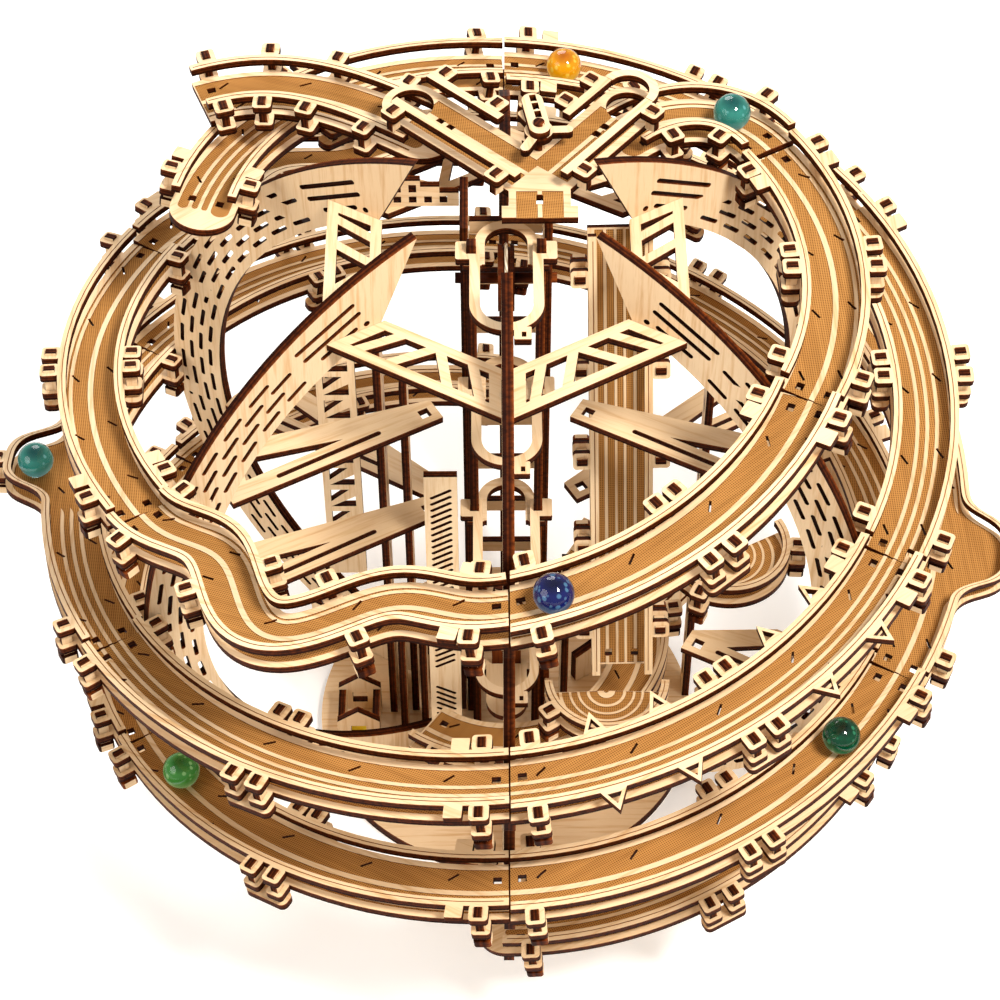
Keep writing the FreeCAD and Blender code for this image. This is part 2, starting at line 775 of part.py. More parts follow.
def build_truss():
    """Six flat lattice arms that tie neighbouring ribs into a hexagon."""
    outer, width = size("truss_outer"), size("truss_width")
    flat = outer * math.cos(math.radians(30))
    inner = (flat - width) / math.cos(math.radians(30))
    clear = (size("rib_thick") / 2 + 0.15) / math.cos(math.radians(30))
    far_half, near_half = outer / 2 - clear, inner / 2 - clear
    border = 4.0
    outline = polygon([(-far_half, flat), (far_half, flat),
                       (near_half, flat - width), (-near_half, flat - width)])
    window_low, window_high = flat - width + border, flat - border
    slope = (far_half - near_half) / width
    top_half = far_half - border * (slope + 1.2)
    low_half = near_half + border * slope - border * 1.2
    window = plate(polygon([(-top_half, window_high), (top_half, window_high),
                            (low_half, window_low), (-low_half, window_low)]), [], -1, PLY + 1)
    bars = []
    for i, lean in enumerate((38, 38, -38, -38)):
        bars.append(slab(3.6, 40, -2, PLY + 2, (-19.5 + 13 * i, (window_low + window_high) / 2),
                         0.0, lean))
    arm = plate(outline, []).cut(window.cut(bars))
    for i in range(6):
        solid = arm.copy()
        solid.Placement = Placement(CENTRE + Vector(0, 0, size("truss_level") - PLY),
                                    Rotation(UP, 30 + 60 * i))
        collect("truss_arms", biggest(solid))


def build_brackets():
    """Triangular slotted brackets that brace the tower frame against the ribs."""
    spots = ((62.0, 60, 30.0, 1), (62.0, -60, 30.0, -1), (-20.0, -120, 30.0, -1),
             (-20.0, 120, 30.0, 1), (8.0, -60, 30.0, -1), (-45.0, 60, 82.0, 1))
    for level, azimuth, apex, hand in spots:
        highest = max(abs(level), abs(level + PLY))
        reach = math.sqrt(size("rib_inner") ** 2 - highest ** 2) - 0.15
        spread = 17.0
        outline = polygon([(apex, -5), (apex, 5), (reach - 14, hand * spread + 5),
                           (reach - 3, hand * spread + 5), (reach - 3, hand * spread - 4),
                           (reach, hand * 2.5), (reach, -hand * 3.5)]
                          if hand > 0 else
                          [(apex, 5), (apex, -5), (reach - 14, -spread - 5),
                           (reach - 3, -spread - 5), (reach - 3, -spread + 4),
                           (reach, -2.5), (reach, 3.5)])
        middle = (apex + reach) / 2
        holes = [
            polygon([(middle - 6, hand * 4.0), (reach - 12, hand * (spread - 3)),
                     (reach - 9, hand * 4.0)]),
            stadium_wire((reach - apex) * 0.5, 2.0, (middle + 2, 0)),
            box_wire(apex + 3, -2.1, apex + 7, 2.1),
        ]
        solid = plate(outline, holes)
        turn = Rotation(UP, azimuth - 90)
        solid.Placement = Placement(CENTRE + Vector(0, 0, level), turn)
        collect("rib_brackets", solid)


# ---------------------------------------------------------------- lift tower

def wall_slots(bottom, top, left, right):
    """Slanted slots in blocks of five, leaning one way and then the other."""
    holes = []
    level, block = bottom + 9.0, 0
    while level < top - 22.0:
        lean = 35 if block % 2 == 0 else -35
        for i in range(5):
            holes.append(stadium_wire((right - left) * 0.62, 1.5,
                                      ((left + right) / 2, level + 3.4 * i), lean))
        level += 35.0
        block += 1
    return holes


def guide_levels():
    return [size("guide_top") - size("guide_step") * i for i in range(4)]


def build_tower():
    """Side walls with shaft holes, pegs, guide plates, rungs and slotted panels."""
    floor = size("base_thick") - size("centre_height") + 0.3
    half, back = size("tower_half"), size("tower_back")
    crest = size("top_level") - PLY - 4.0
    for label, side in (("tower_wall_left", -1), ("tower_wall_right", 1)):
        outline = box_wire(size("wall_front"), floor, back + 4, crest)
        holes = []
        for level in (size("drum_level"), size("idler_level")):
            ring = Part.makeCircle(size("shaft_radius") + size("shaft_gap"),
                                   Vector(size("cord_axis_y"), level, 0), UP)
            holes.append(Part.Wire(ring))
        holes += wall_slots(size("drum_level") + 16, size("idler_level") - 14, 3.0, back - 1)
        wall = plate(outline, holes)
        wall.Placement = upright(CENTRE, 180)
        wall.translate(Vector(side * half - wall.BoundBox.Center.x, 0, 0))
        add_feature(label, wall)

    # long square pegs carry the guide plates and stand on the base plate
    reach = 12.4
    for side in (-1, 1):
        peg = Part.makeBox(3.4, 3.4, crest - floor - 2,
                           CENTRE + Vector(side * reach - 1.7, -7.2, floor))
        collect("tower_pegs", peg)

    outer, inner, tip = size("guide_outer"), size("guide_inner"), size("guide_tip")
    for level in guide_levels():
        bend = -tip + outer
        front_outline = Part.Wire([
            Part.makeLine(Vector(-outer, bend, 0), Vector(-outer, -1.0, 0)),
            Part.makeLine(Vector(-outer, -1.0, 0), Vector(-inner, -1.0, 0)),
            Part.makeLine(Vector(-inner, -1.0, 0), Vector(-inner, bend, 0)),
            Part.Arc(Vector(-inner, bend, 0), Vector(0, bend - inner, 0),
                     Vector(inner, bend, 0)).toShape(),
            Part.makeLine(Vector(inner, bend, 0), Vector(inner, -1.0, 0)),
            Part.makeLine(Vector(inner, -1.0, 0), Vector(outer, -1.0, 0)),
            Part.makeLine(Vector(outer, -1.0, 0), Vector(outer, bend, 0)),
            Part.Arc(Vector(outer, bend, 0), Vector(0, -tip, 0),
                     Vector(-outer, bend, 0)).toShape(),
        ])
        fork = plate(front_outline, [])
        tabs, sockets = [], []
        for side in (-1, 1):
            tabs.append(slab(8.6, 9.0, 0, PLY, (side * (reach + 1.3), -5.5), 0.9))
            sockets.append(slab(3.6, 3.6, -1, PLY + 1, (side * reach, -5.5)))
        nose = slab(6.0, 6.0, 0, PLY, (5.4, -tip - 1.2), 0.5)
        nose_slot = slab(1.6, 2.4, -1, PLY + 1, (5.8, -tip - 1.8))
        fork = fork.fuse(tabs + [nose]).cut(sockets + [nose_slot])
        collect("tower_guides_front", biggest(fork.removeSplitter()),
                Placement(CENTRE + Vector(0, 0, level - PLY), Rotation()))
        arch_outline = Part.Wire([
            Part.makeLine(Vector(-11.2, -9.4, 0), Vector(-11.2, 1.0, 0)),
            Part.Arc(Vector(-11.2, 1.0, 0), Vector(0, 13.0, 0), Vector(11.2, 1.0, 0)).toShape(),
            Part.makeLine(Vector(11.2, 1.0, 0), Vector(11.2, -9.4, 0)),
            Part.makeLine(Vector(11.2, -9.4, 0), Vector(7.6, -9.4, 0)),
            Part.makeLine(Vector(7.6, -9.4, 0), Vector(7.6, 1.0, 0)),
            Part.Arc(Vector(7.6, 1.0, 0), Vector(0, 9.0, 0), Vector(-7.6, 1.0, 0)).toShape(),
            Part.makeLine(Vector(-7.6, 1.0, 0), Vector(-7.6, -9.4, 0)),
            Part.makeLine(Vector(-7.6, -9.4, 0), Vector(-11.2, -9.4, 0)),
        ])
        arch = plate(arch_outline, [])
        tabs = [slab(7.0, 9.0, 0, PLY, (side * 12.0, -5.5), 0.9) for side in (-1, 1)]
        arch = arch.fuse(tabs).cut(sockets)
        collect("tower_guides_back", biggest(arch.removeSplitter()),
                Placement(CENTRE + Vector(0, 0, level - 2 * PLY - 0.2), Rotation()))

    span = 2 * (half - PLY / 2) - 0.4
    level = floor + 30.0
    while level < crest - 20.0:
        rung = Part.makeBox(span, PLY, 6.0, CENTRE + Vector(-span / 2, back - 0.5, level))
        collect("tower_rungs", rung)
        level += 26.0


def build_panels():
    """Upright boards round the tower: a slotted panel, a lattice panel and side boards."""
    floor = size("base_thick") - size("centre_height") + 0.3
    left, right, crest = -31.0, -18.5, 48.0
    slots = []
    level = floor + 10
    turn_level = -75.0
    while level < crest - 8:
        lean = 32 if level > turn_level else -32
        if abs(level - turn_level) > 6:
            slots.append(stadium_wire(9.5, 1.4, ((left + right) / 2, level), lean))
        level += 3.6
    panel = plate(box_wire(left, floor, right, crest), slots)
    panel.Placement = upright(CENTRE + Vector(0, -31.0, 0), 90)
    add_feature("slotted_panel", panel)

    left, right, crest = -72.0, -57.0, 86.0
    holes = []
    level = -40.0
    while level < crest - 14:
        holes.append(polygon([(left + 2.6, level), (right - 2.6, level), (right - 2.6, level + 6)]))
        holes.append(polygon([(left + 2.6, level + 3), (left + 2.6, level + 10),
                              (right - 5.0, level + 10)]))
        level += 13.0
    panel = plate(box_wire(left, -56.0, right, crest), holes)
    panel.Placement = upright(CENTRE + Vector(0, 8.0, 0), 90)
    collect("side_boards", panel)
    boards = ((-50.0, 9.0, floor, 96.0, 20.0), (-40.5, 7.0, floor, 60.0, 14.0),
              (76.5, 12.0, floor, 56.0, 10.0), (-36.0, -8.0, floor, -58.0, 12.0),
              (-45.0, -6.0, floor, -84.0, 10.0), (22.0, -20.0, floor, -24.0, 16.0))
    for x, y, low, high, depth in boards:
        holes = []
        level = low + 14
        while level < high - 16:
            holes.append(stadium_wire(9.0, 2.2, (0, level), 90))
            level += 21.0
        board = plate(box_wire(-depth / 2, low, depth / 2, high), holes)
        board.Placement = upright(CENTRE + Vector(x, y, 0), 180)
        collect("side_boards", board)


def build_facade():
    """Stepped street front with windows, a small house and a pennant."""
    foot = size("truss_level") + 0.1
    outline = polygon([(-48.5, foot), (-17, foot), (-17, foot + 6.5), (-24, foot + 6.5),
                       (-24, foot + 9.5), (-31, foot + 9.5), (-31, foot + 12.4),
                       (-48.5, foot + 12.4)])
    windows = []
    for column in range(5):
        left = -46.4 + 5.6 * column
        windows.append(box_wire(left, foot + 1.8, left + 2.8, foot + 4.8))
        if column < 3:
            windows.append(box_wire(left, foot + 6.8, left + 2.8, foot + 10.4))
    front = plate(outline, windows)
    front.Placement = upright(CENTRE + Vector(0, 34.0, 0), 90)
    add_feature("street_front", front)

    floor = size("base_thick") - size("centre_height") + 0.3
    front = plate(polygon([(-9, floor), (9, floor), (9, floor + 15), (0, floor + 22),
                           (-9, floor + 15)]), [box_wire(-3.2, floor + 5, 3.2, floor + 12)])
    for y in (-14.0, 4.0):
        wall = front.copy()
        wall.Placement = upright(CENTRE + Vector(-63, y, 0), 90)
        collect("house_walls", wall)
    pane = plate(box_wire(-4.4, floor + 4, 4.4, floor + 13), [], 0, 1.0)
    pane.Placement = upright(CENTRE + Vector(-63, -12.8, 0), 90)
    add_feature("house_window", pane)
    for side in (-1, 1):
        wall = Part.makeBox(PLY, 14.6, 14.0,
                            CENTRE + Vector(-63 + side * 7.3 - PLY / 2, -13.8, floor))
        collect("house_walls", wall)

    pennant = plate(polygon([(-8, -70), (8, -70), (8, -96), (4, -90), (0, -96), (-4, -90),
                             (-8, -96)]), [stadium_wire(9, 1.6, (0, -75))])
    pennant.Placement = upright(CENTRE + Vector(-72, 0, 0), 60)
    add_feature("pennant", pennant)


# ---------------------------------------------------------------- ramp, landing and collector

def framed(start, along, normal):
    """Placement whose X runs along a piece and whose Z is its upper side."""
    x_axis = Vector(along).normalize()
    z_axis = Vector(normal)
    z_axis = (z_axis - x_axis * z_axis.dot(x_axis)).normalize()
    return Placement(CENTRE + Vector(*start), Rotation(x_axis, z_axis.cross(x_axis), z_axis,
                                                      "ZXY"))


RAMP_BANDS = [(-9.4, -6.2), (-5.0, -2.2), (-1.2, 1.2), (2.2, 5.0), (6.2, 9.4)]


def straight(length):
    return CurvePath(lambda part: (length * part, 0.0))


def build_ramp():
    """Steep lined board right of the tower, its two U-turn landings, and the collector."""
    top, foot = Vector(42, 30, 114), Vector(46, -38, -62)
    run = foot - top
    placement = framed(top, run, Vector(0, -1, 0.35))
    path = straight(run.Length)
    posts = [(0.09 + 0.2 * i, False) for i in range(5)]
    groups = ("ramp_board", ("ramp_rails", "ramp_rails"), "rail_posts", "clip_plates")
    track_piece(path, placement, RAMP_BANDS, posts=posts, groups=groups,
                dashes=False, plaque=False)
    groups = ("landing_decks", ("ramp_rails", "ramp_rails"), "rail_posts", "clip_plates")
    landing = Placement(CENTRE + Vector(40, -44, -72), Rotation(UP, -90))
    track_piece(ArcPath(13.0, 88, -88), landing, RAMP_BANDS,
                posts=[(0.18, False), (0.82, False)], groups=groups, dashes=False,
                plaque=False, rails=(1,), seam_holes=False)
    landing = Placement(CENTRE + Vector(88, -8, -30), Rotation(UP, -60))
    track_piece(ArcPath(13.0, 88, -88), landing, RAMP_BANDS,
                posts=[(0.18, False), (0.82, False)], groups=groups, dashes=False,
                plaque=False, rails=(1,), seam_holes=False)

    level = seam_level(size("front_level_a"), STOPS_A[-1]) - 3.0
    ring = ArcPath(56.0, 60.0, -126.0)
    groups = ("collector_deck", ("collector_rails", "collector_rails"), "rail_posts",
              "clip_plates")
    placement = Placement(CENTRE + Vector(0, 0, level), Rotation())
    posts = [(0.06 + 0.22 * i, False) for i in range(5)]
    track_piece(ring, placement, BANDS_A, posts=posts, groups=groups,
                plaque=False, rails=(1,))


# ---------------------------------------------------------------- top tracks

def build_top():
    """The Y junction over the lift, the left-hand overhead track and the right-hand loop."""
    level = size("top_level") - 4.0
    placement = Placement(CENTRE + Vector(0, 0, level), Rotation())
    fork = (12.0, 20.0)
    left_end, right_end = (-34.0, 62.0), (45.0, 60.0)
    stem = slab(22.0, 22.0, -PLY, 0, (12.0, 12.5))
    wide = slab(27.0, 6.0, -PLY, 0, (12.0, 4.5))
    pieces, cuts = [stem, wide], []
    for tip in (left_end, right_end):
        run = math.dist(fork, tip)
        turn = math.degrees(math.atan2(tip[1] - fork[1], tip[0] - fork[0]))
        centre = ((fork[0] + tip[0]) / 2, (fork[1] + tip[1]) / 2)
        pieces.append(slab(run, 22.0, -PLY, 0, centre, 0.0, turn))
        pieces.append(Part.makeCylinder(11.0, PLY, Vector(tip[0], tip[1], -PLY)))
        for aside in (-4.4, 4.4):
            side = math.radians(turn + 90)
            mark = (centre[0] + aside * math.cos(side), centre[1] + aside * math.sin(side))
            cuts.append(slab(run - 12, 7.0, -size("engrave"), 1, mark, 0.0, turn))
        cuts.append(Part.makeCylinder(8.0, 10, Vector(tip[0], tip[1], -6)))
        for gap in (14.0, 19.0):
            mark = (tip[0] - gap * math.cos(math.radians(turn)),
                    tip[1] - gap * math.sin(math.radians(turn)))
            cuts.append(slab(3.0, 3.0, -9, 3, mark, 0.0, turn))
    for aside in (-4.6, 4.6):
        cuts.append(slab(7.6, 14.0, -size("engrave"), 1, (12.0 + aside, 8.0)))
    cuts.append(slab(2.4, 4.6, -9, 3, (12.0, 11.0)))
    pivot = (12.0, 38.0)
    pieces.append(slab(14.0, 12.0, -PLY, 0, (12.0, 34.5), 2.0))
    pivot_hole = Part.makeCylinder(size("shaft_radius") + size("shaft_gap"), 20,
                                   Vector(pivot[0], pivot[1], -10))
    cuts.append(pivot_hole)
    deck = pieces[0].fuse(pieces[1:]).cut(cuts).removeSplitter()
    collect("junction_deck", biggest(deck), placement)

    rail_low = size("rail_lift")
    rail_high = rail_low + PLY
    half = 11.0 - size("rail_width") / 2
    sides = []
    for tip, outer_side in ((left_end, 1), (right_end, -1)):
        run = math.dist(fork, tip)
        turn = math.degrees(math.atan2(tip[1] - fork[1], tip[0] - fork[0]))
        side = math.radians(turn + 90)
        for hand, near, far in ((outer_side, 2.0, run), (-outer_side, 27.0, run)):
            middle = (near + far) / 2
            mark = (fork[0] + middle * math.cos(math.radians(turn)) + hand * half * math.cos(side),
                    fork[1] + middle * math.sin(math.radians(turn)) + hand * half * math.sin(side))
            bar = slab(far - near, size("rail_width"), rail_low, rail_high, mark, 0.0, turn)
            tabs, holes = [], []
            for spot in (near + 6.0, far - 4.0):
                centre = (fork[0] + spot * math.cos(math.radians(turn))
                          + hand * (half + 4.6) * math.cos(side),
                          fork[1] + spot * math.sin(math.radians(turn))
                          + hand * (half + 4.6) * math.sin(side))
                tabs.append(slab(7.0, 7.0, rail_low, rail_high, centre, 1.4, turn))
                holes.append(slab(3.2, 4.2, rail_low - 1, rail_high + 1, centre, 0.0, turn))
                peg = slab(3.0, 4.0, 0.1, rail_high + 0.9, centre, 0.0, turn)
                collect("rail_posts", peg, placement)
            sides.append(biggest(bar.fuse(tabs).cut(holes).removeSplitter()))
    for solid in sides:
        collect("junction_rails", solid, placement)
    ring_mark = Vector(right_end[0], right_end[1], rail_low)
    turn = math.degrees(math.atan2(right_end[1] - fork[1], right_end[0] - fork[0]))
    ring = Part.makeCylinder(11.0, PLY, ring_mark).cut(
        [Part.makeCylinder(7.6, 10, ring_mark + Vector(0, 0, -2)),
         slab(14.4, 26.0, rail_low - 1, rail_high + 1,
              (right_end[0] - 7.0 * math.cos(math.radians(turn)),
               right_end[1] - 7.0 * math.sin(math.radians(turn))), 0.0, turn)])
    collect("junction_rails", biggest(ring), placement)

    # left-hand overhead track, from under the junction's left hole out past the ribs
    def overhead(part):
        return -30.0 - 84.0 * part, 58.0 + 30.0 * math.sin(2.0 * part) - 4.0 * part ** 2

    placement = Placement(CENTRE + Vector(0, 0, size("top_level") - 15.2),
                          Rotation(Vector(0, 1, 0), -2.0))
    groups = ("overhead_deck", ("overhead_rails", "overhead_rails"), "rail_posts",
              "clip_plates")
    path = CurvePath(overhead)
    track_piece(path, placement, BANDS_A, groups=groups, start_round=True,
                posts=[(0.16, False), (0.45, False), (0.7, False), (0.93, False)],
                plaque=False, clips=False)

    placement, path, _ = launch_piece()
    groups = ("track_a_start_deck", ("track_a_outer_rails", "track_a_inner_rails"),
              "rail_posts", "clip_plates")
    seam = polar(spiral_radius(seam_level(size("front_level_a"), STOPS_A[0])), STOPS_A[0],
                 seam_level(size("front_level_a"), STOPS_A[0]))
    track_piece(path, placement, BANDS_A, groups=groups,
                start_round=True, posts=[(0.2, False), (0.8, False)], plaque=False,
                trims=[(STOPS_A[0], -1, seam)])
    build_switch(Vector(pivot[0], pivot[1], size("top_level") - 4.0))


def launch_piece():
    """First stretch of track a, from below the right-hand loop to its first seam.

    Also gives the part of it where a marble waits."""
    level = seam_level(size("front_level_a"), STOPS_A[0])
    gate = spiral_radius(level)
    turn = math.radians(STOPS_A[0])
    target = (gate * math.sin(turn), -gate * math.cos(turn))
    heading = math.radians(STOPS_A[0] - 180)
    lead = 26.0
    ends = ((44.0, 62.0), (62.0, 78.0),
            (target[0] - lead * math.cos(heading), target[1] - lead * math.sin(heading)), target)

    def launch(part):
        rest = 1 - part
        weights = (rest ** 3, 3 * part * rest ** 2, 3 * part ** 2 * rest, part ** 3)
        return (sum(k * p[0] for k, p in zip(weights, ends)),
                sum(k * p[1] for k, p in zip(weights, ends)))

    placement = Placement(CENTRE + Vector(0, 0, level + 2.6), Rotation())
    return placement, CurvePath(launch), 0.72


def build_switch(pivot):
    """Three-armed flip switch with a raised slotted lever, and the pin it turns on."""
    low = size("rail_lift")
    star = Part.makeCylinder(5.2, PLY, Vector(0, 0, low))
    arms = []
    for turn in (-118.0, 2.0, 122.0):
        arms.append(stadium_arm(10.5, 3.6, low, low + PLY, turn))
    slots = [slab(2.4, 3.6, -40, 40, (0.6 - 0.85 * i, 0.6 + 4.4 * i), 0.0, 10)
             for i in range(4) if i > 0]
    lever = plate(stadium_wire(22.0, 7.6, (-1.0, 5.6), 100), [], low + PLY, low + 2 * PLY)
    body = star.fuse(arms + [lever.cut(slots)])
    bore = Part.makeCylinder(size("shaft_radius") + size("shaft_gap"), 60, Vector(0, 0, -20))
    body = body.cut([bore]).removeSplitter()
    collect("flip_switch", biggest(body), Placement(CENTRE + pivot, Rotation()))
    pin = Part.makeCylinder(size("shaft_radius"), 17.0, Vector(0, 0, -PLY - 1.5))
    collect("switch_pin", pin, Placement(CENTRE + pivot, Rotation()))


def stadium_arm(reach, width, low, high, turn):
    length = reach + width / 2
    middle = length / 2
    angle = math.radians(turn)
    outline = stadium_wire(length, width, (middle * math.cos(angle), middle * math.sin(angle)),
                           turn)
    return plate(outline, [], low, high)


# ---------------------------------------------------------------- lift, crank and marbles

def wheel(label, level, handle):
    """Grooved cord wheel on its shaft across the tower, bound to the sheet."""
    half = size("tower_half")
    axis_y, rim = size("cord_axis_y"), size("cord_loop") - size("cord_radius") - 0.2
    reach = half + PLY / 2 + 2.0
    left = half + PLY / 2 + (4.0 if handle else 2.0)
    shaft = Part.makeCylinder(size("shaft_radius"), left + reach, Vector(-left, 0, 0),
                              Vector(1, 0, 0))
    drum = Part.makeCylinder(rim, 3.0, Vector(-1.5, 0, 0), Vector(1, 0, 0))
    flanges = [Part.makeCylinder(size("cord_loop") + 0.2, 1.5, Vector(x, 0, 0), Vector(1, 0, 0))
               for x in (-3.0, 1.5)]
    hollows = []
    for i in range(5):
        turn = math.radians(72 * i)
        hollows.append(Part.makeCylinder(2.2, 20, Vector(-10, 6.6 * math.cos(turn),
                                                         6.6 * math.sin(turn)), Vector(1, 0, 0)))
    body = shaft.fuse([drum] + flanges).cut(hollows)
    if handle:
        disc = Part.makeCylinder(15.0, PLY, Vector(-left + 0.5, 0, 0), Vector(1, 0, 0))
        bore = Part.makeCylinder(size("shaft_radius") + size("shaft_gap"), 20,
                                 Vector(-left - 8, size("crank_reach"), 0),
                                 Vector(1, 0, 0))
        windows = []
        for i in (1, 2, 3, 4):
            turn = math.radians(72 * i)
            windows.append(Part.makeCylinder(3.0, 20, Vector(-left - 8, 9.0 * math.cos(turn),
                                                             9.0 * math.sin(turn)),
                                             Vector(1, 0, 0)))
        windows = [w.cut(Part.makeCylinder(20, 30, Vector(-left + PLY + 1.5, 0, 0),
                                           Vector(1, 0, 0))) for w in windows]
        body = body.fuse([disc]).cut([bore.cut(Part.makeBox(60, 60, 60,
                                      Vector(-left + PLY + 1.5, -30, -30)))] + windows)
    body = biggest(body.removeSplitter())
    collect(label, body, Placement(CENTRE + Vector(0, axis_y, level), Rotation()))
    return left


def build_lift():
    """Endless cord over two wheels, the car clipped to its front run, and the crank."""
    left = wheel("crank_drum", size("drum_level"), True)
    wheel("idler_wheel", size("idler_level"), False)
    radius, axis_y = size("cord_loop"), size("cord_axis_y")
    low, high = size("drum_level"), size("idler_level")
    front, rear = axis_y - radius, axis_y + radius
    loop = Part.Wire([
        Part.makeLine(Vector(0, front, low), Vector(0, front, high)),
        Part.Arc(Vector(0, front, high), Vector(0, axis_y, high + radius),
                 Vector(0, rear, high)).toShape(),
        Part.makeLine(Vector(0, rear, high), Vector(0, rear, low)),
        Part.Arc(Vector(0, rear, low), Vector(0, axis_y, low - radius),
                 Vector(0, front, low)).toShape(),
    ])
    profile = Part.Wire(Part.makeCircle(size("cord_radius"), Vector(0, front, low), UP))
    cord = loop.makePipeShell([profile], True, True)
    collect("lift_cord", cord, Placement(CENTRE, Rotation()))

    # the knob turns on its own pin, which is part of the knob
    knob_y = size("crank_reach")
    knob = Part.makeCylinder(3.6, 8.0, Vector(-left - 8.2, 0, 0), Vector(1, 0, 0))
    knob = knob.makeFillet(1.2, [knob.Edges[0], knob.Edges[2]])
    pin = Part.makeCylinder(size("shaft_radius"), 4.4, Vector(-left - 1, 0, 0), Vector(1, 0, 0))
    knob = knob.fuse([pin]).removeSplitter()
    collect("crank_knob", biggest(knob),
            Placement(CENTRE + Vector(0, axis_y + knob_y, low), Rotation()))


def build_car():
    """Lift car: a round-nosed platform on a back plate, as one padded body."""
    label = "lift_car"
    body, outline = new_body(label)
    width = 2 * size("guide_inner") - 1.8
    sketch_box(outline, -width / 2, -32.0, width / 2, -11.0, (
        "-(Sizes.guide_inner - 0.9)", "-32", "Sizes.guide_inner - 0.9", "-11"))
    pad(body, outline, "Sizes.ply", PLY)
    nose = more_sketch(body, "car_nose")
    sketch_circle(nose, "Sizes.guide_inner - 0.9", width / 2, (0, -32.0))
    pad(body, nose, "Sizes.ply", PLY)
    back = more_sketch(body, "car_back")
    sketch_box(back, -6.0, -13.4, 6.0, -11.0, ("-6", "-13.4", "6", "-11"))
    pad(body, back, "Sizes.car_rise", size("car_rise"))
    tail = more_sketch(body, "car_tail")
    sketch_box(tail, -4.0, -13.4, 4.0, -11.0, ("-4", "-13.4", "4", "-11"))
    drop = pad(body, tail, "Sizes.car_drop", size("car_drop"))
    drop.Reversed = True
    clamp = more_sketch(body, "car_clamp")
    sketch_box(clamp, -4.0, -11.0, 4.0, -6.9, ("-4", "-11", "4", "-6.9"))
    pad(body, clamp, "Sizes.ply", PLY)
    doc.recompute()
    body.Placement = Placement(CENTRE + Vector(0, 0, size("car_low") - PLY), Rotation())


def marble(label, place):
    ball = doc.addObject("Part::Sphere", label)
    ball.Label = label
    ball.setExpression("Radius", "Sizes.marble_dia / 2")
    ball.Placement = Placement(place, Rotation())
    SUBPARTS.append(ball)


def spiral_marble(label, front_level, stops, index, azimuth, aside=0.0):
    """Rests a marble on one stretch of a spiral at the given azimuth.

    The printed line gives the axis through the centre of that stretch's arc, about
    which the marble rolls, and the stretch's own end angles."""
    placement, radius, angles, _ = spiral_frame(front_level, stops[index], stops[index + 1])
    middle = (stops[index] + stops[index + 1]) / 2
    share = (azimuth - middle) / (stops[index] - middle)
    turn = math.radians(share * angles[0])
    lift = size("marble_dia") / 2 + size("marble_gap")
    reach = Vector(math.cos(turn), math.sin(turn), 0)
    spot = placement.multVec(reach * (radius + aside) + Vector(0, 0, lift))
    marble(label, spot)
    normal = placement.Rotation.multVec(UP)
    outward = placement.Rotation.multVec(reach)
    print("roll axis", label, *[round(c, 4) for c in placement.Base],
          *[round(c, 6) for c in normal], *[round(c, 6) for c in outward],
          round(share * angles[0], 2), *[round(a, 2) for a in angles])


def build_marbles():
    front_a = size("front_level_a")
    front_b = size("front_level_b") + size("track_pitch")
    spiral_marble("marble_blue", front_a, STOPS_A, 1, 8.5)
    spiral_marble("marble_light_green", front_a, STOPS_A, 8, -360 - 50.0)
    spiral_marble("marble_dark_green", front_a, STOPS_A, 7, -360 + 47.0)
    spiral_marble("marble_amber", front_b, STOPS_B, 1, -180 - 9.0)
    spiral_marble("marble_teal_left", front_b, STOPS_B, 5, -360 - 93.0, 17.0)
    placement, path, part = launch_piece()
    lift = size("marble_dia") / 2 + size("marble_gap")
    marble("marble_teal_top", placement.multVec(path.point(part, 0.0, lift)))
    heading = placement.Rotation.multVec(
        Vector(math.cos(math.radians(path.heading(part))),
               math.sin(math.radians(path.heading(part))), 0))
    print("slide axis marble_teal_top", *[round(c, 6) for c in heading])


# ---------------------------------------------------------------- writing

def write_parts():
    for name, solids in GROUPS.items():
        add_feature(name, Part.makeCompound(solids) if len(solids) > 1 else solids[0])
    doc.recompute()
    for item in doc.Objects:
        if "Invalid" in item.State or "Error" in item.State:
            raise RuntimeError(f"{item.Label} failed: {item.State}")
    os.makedirs("parts", exist_ok=True)
    for subpart in SUBPARTS:
        shape = subpart.Shape
        if shape.isNull() or not shape.isValid():
            raise RuntimeError(f"{subpart.Label} has no valid shape")
        shape.exportStep(f"parts/{subpart.Label}.step")
        print(subpart.Label, len(shape.Solids), round(shape.Volume, 1))


build_base()
build_ribs()
build_truss()
build_brackets()
build_tower()
build_panels()
build_facade()
build_ramp()
build_top()
build_lift()
build_car()
build_marbles()
build_spirals()
write_parts()
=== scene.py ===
"""Looks of the plywood marble globe: laser-cut birch plywood with burnt edges and hatched
deck bands, coloured glass marbles with glinting flakes, a twisted cord and a lit window.

Lengths are in metres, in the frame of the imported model, unless a name or comment says
otherwise."""
import math

